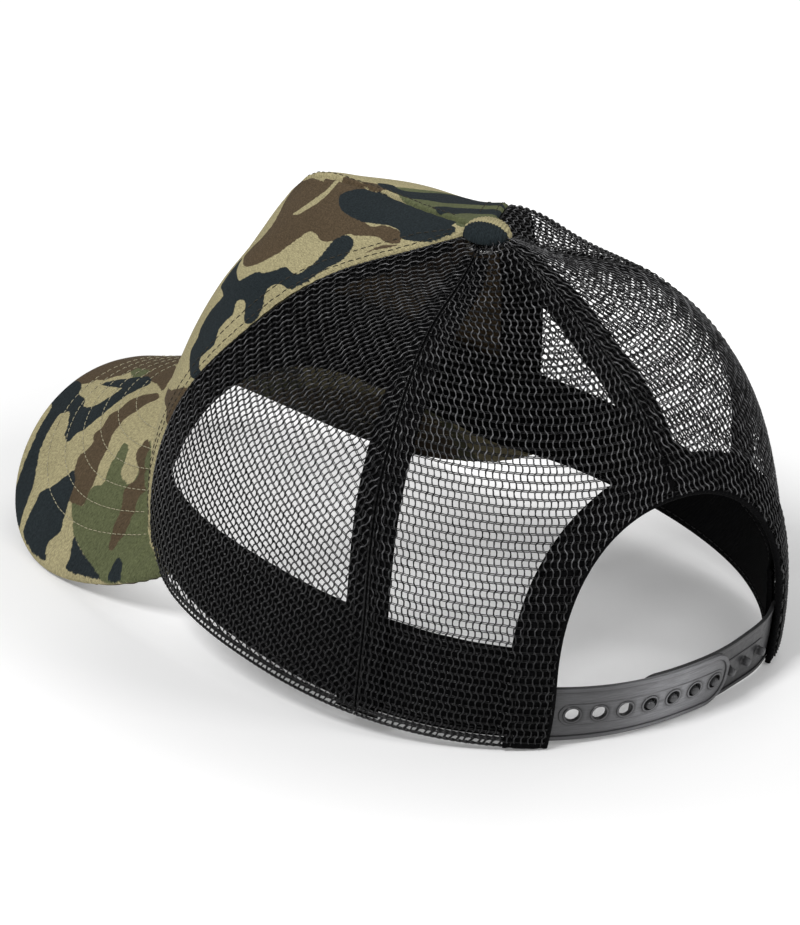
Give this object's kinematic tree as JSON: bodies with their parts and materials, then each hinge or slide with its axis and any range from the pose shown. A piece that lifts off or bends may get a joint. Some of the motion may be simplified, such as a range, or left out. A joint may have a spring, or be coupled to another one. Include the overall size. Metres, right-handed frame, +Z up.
{
  "type": "trucker cap",
  "caption": "Soft adjustable trucker cap: rounded cloth front, open mesh sides and back, curved visor, arched rear opening closed by a snap strap.",
  "frame": {"origin": "on the table plane, under the centre of the head opening", "axes": "+Z up with the cap at rest on a table, -Y towards the visor, +X to the wearer's left"},
  "size_m": [0.1654, 0.277, 0.129],
  "materials": {
    "front_cloth": "brushed cotton twill printed in a camouflage of khaki, brown, olive and near black",
    "buckram": "open stiffened weave fused to the back of the front panel",
    "mesh": "open knitted polyester mesh with a slight gloss",
    "tape": "matte woven tape",
    "sweatband_cloth": "matte cotton twill",
    "interlining": "felted interlining",
    "visor_board": "moulded polyethylene sheet",
    "strap_plastic": "semi-gloss moulded plastic with a light grain",
    "button_cloth": "ribbed cotton twill from the front cloth",
    "button_metal": "plain stamped steel"
  },
  "bodies": {
    "crown": {"front_panel": "front_cloth", "front_panel_buckram": "buckram", "left_side_mesh_panel": "mesh", "right_side_mesh_panel": "mesh", "left_rear_mesh_panel": "mesh", "right_rear_mesh_panel": "mesh", "front_dart_tape": "tape", "left_front_seam_tape": "tape", "right_front_seam_tape": "tape", "left_side_seam_tape": "tape", "right_side_seam_tape": "tape", "centre_back_seam_tape": "tape", "rear_opening_binding": "tape", "sweatband": "sweatband_cloth", "sweatband_interlining": "interlining", "visor_board": "visor_board", "visor_top_cover": "front_cloth", "visor_bottom_cover": "front_cloth", "left_strap_sewn_end": "strap_plastic", "right_strap_sewn_end": "strap_plastic", "button_cover": "button_cloth", "button_cap": "button_metal", "button_prong": "button_metal", "button_washer": "button_metal"},
    "left_strap": {"left_strap": "strap_plastic"},
    "right_strap": {"right_strap": "strap_plastic"}
  },
  "joints": [
    {"name": "left_strap_bend", "type": "hinge", "parent": "crown", "child": "left_strap", "pos_m": [0.04101, 0.08882, 0.01064], "axis": [-0.0281, -0.1973, -0.9799], "range_deg": [0, 55], "stiffness_Nm_per_rad": 0.004},
    {"name": "right_strap_bend", "type": "hinge", "parent": "crown", "child": "right_strap", "pos_m": [-0.04101, 0.08882, 0.01064], "axis": [0.0281, -0.1973, -0.9799], "range_deg": [0, 40], "stiffness_Nm_per_rad": 0.004}
  ]
}
